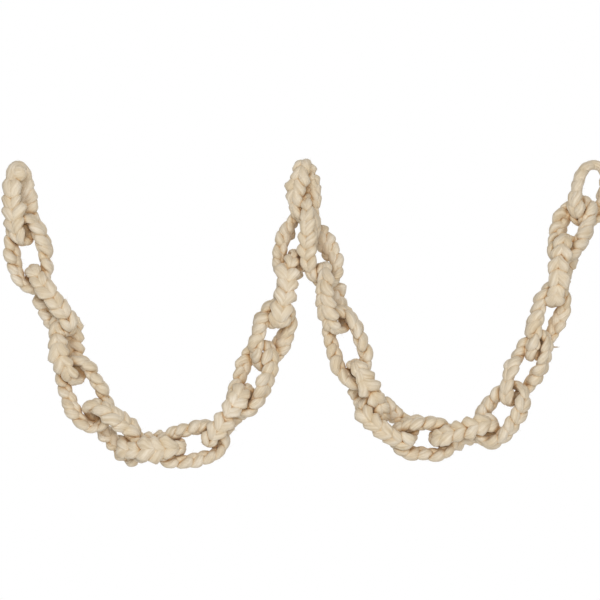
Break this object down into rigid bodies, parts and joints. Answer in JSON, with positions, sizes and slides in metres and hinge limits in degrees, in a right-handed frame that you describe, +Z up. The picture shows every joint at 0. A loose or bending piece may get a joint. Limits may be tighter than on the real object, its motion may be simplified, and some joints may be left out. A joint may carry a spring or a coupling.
{
  "type": "crochet chain garland",
  "caption": "Hanging garland of interlinked crochet rings in cream yarn, draped in two swags between its two ends and its middle.",
  "frame": {"origin": "the top of the middle ring, where the garland hangs at its middle", "axes": "+X along the garland to the viewer's right, +Y away from the viewer, +Z up"},
  "size_m": [0.8318, 0.0866, 0.419],
  "materials": {
    "cream_yarn": "matte"
  },
  "bodies": {
    "root": {"ring_left_13": "cream_yarn", "ring_left_12": "cream_yarn", "ring_left_11": "cream_yarn", "ring_left_10": "cream_yarn", "ring_left_09": "cream_yarn", "ring_left_08": "cream_yarn", "ring_left_07": "cream_yarn", "ring_left_06": "cream_yarn", "ring_left_05": "cream_yarn", "ring_left_04": "cream_yarn", "ring_left_03": "cream_yarn", "ring_left_02": "cream_yarn", "ring_left_01": "cream_yarn", "ring_middle": "cream_yarn", "ring_right_01": "cream_yarn", "ring_right_02": "cream_yarn", "ring_right_03": "cream_yarn", "ring_right_04": "cream_yarn", "ring_right_05": "cream_yarn", "ring_right_06": "cream_yarn", "ring_right_07": "cream_yarn", "ring_right_08": "cream_yarn", "ring_right_09": "cream_yarn", "ring_right_10": "cream_yarn", "ring_right_11": "cream_yarn", "ring_right_12": "cream_yarn", "ring_right_13": "cream_yarn"}
  },
  "joints": []
}
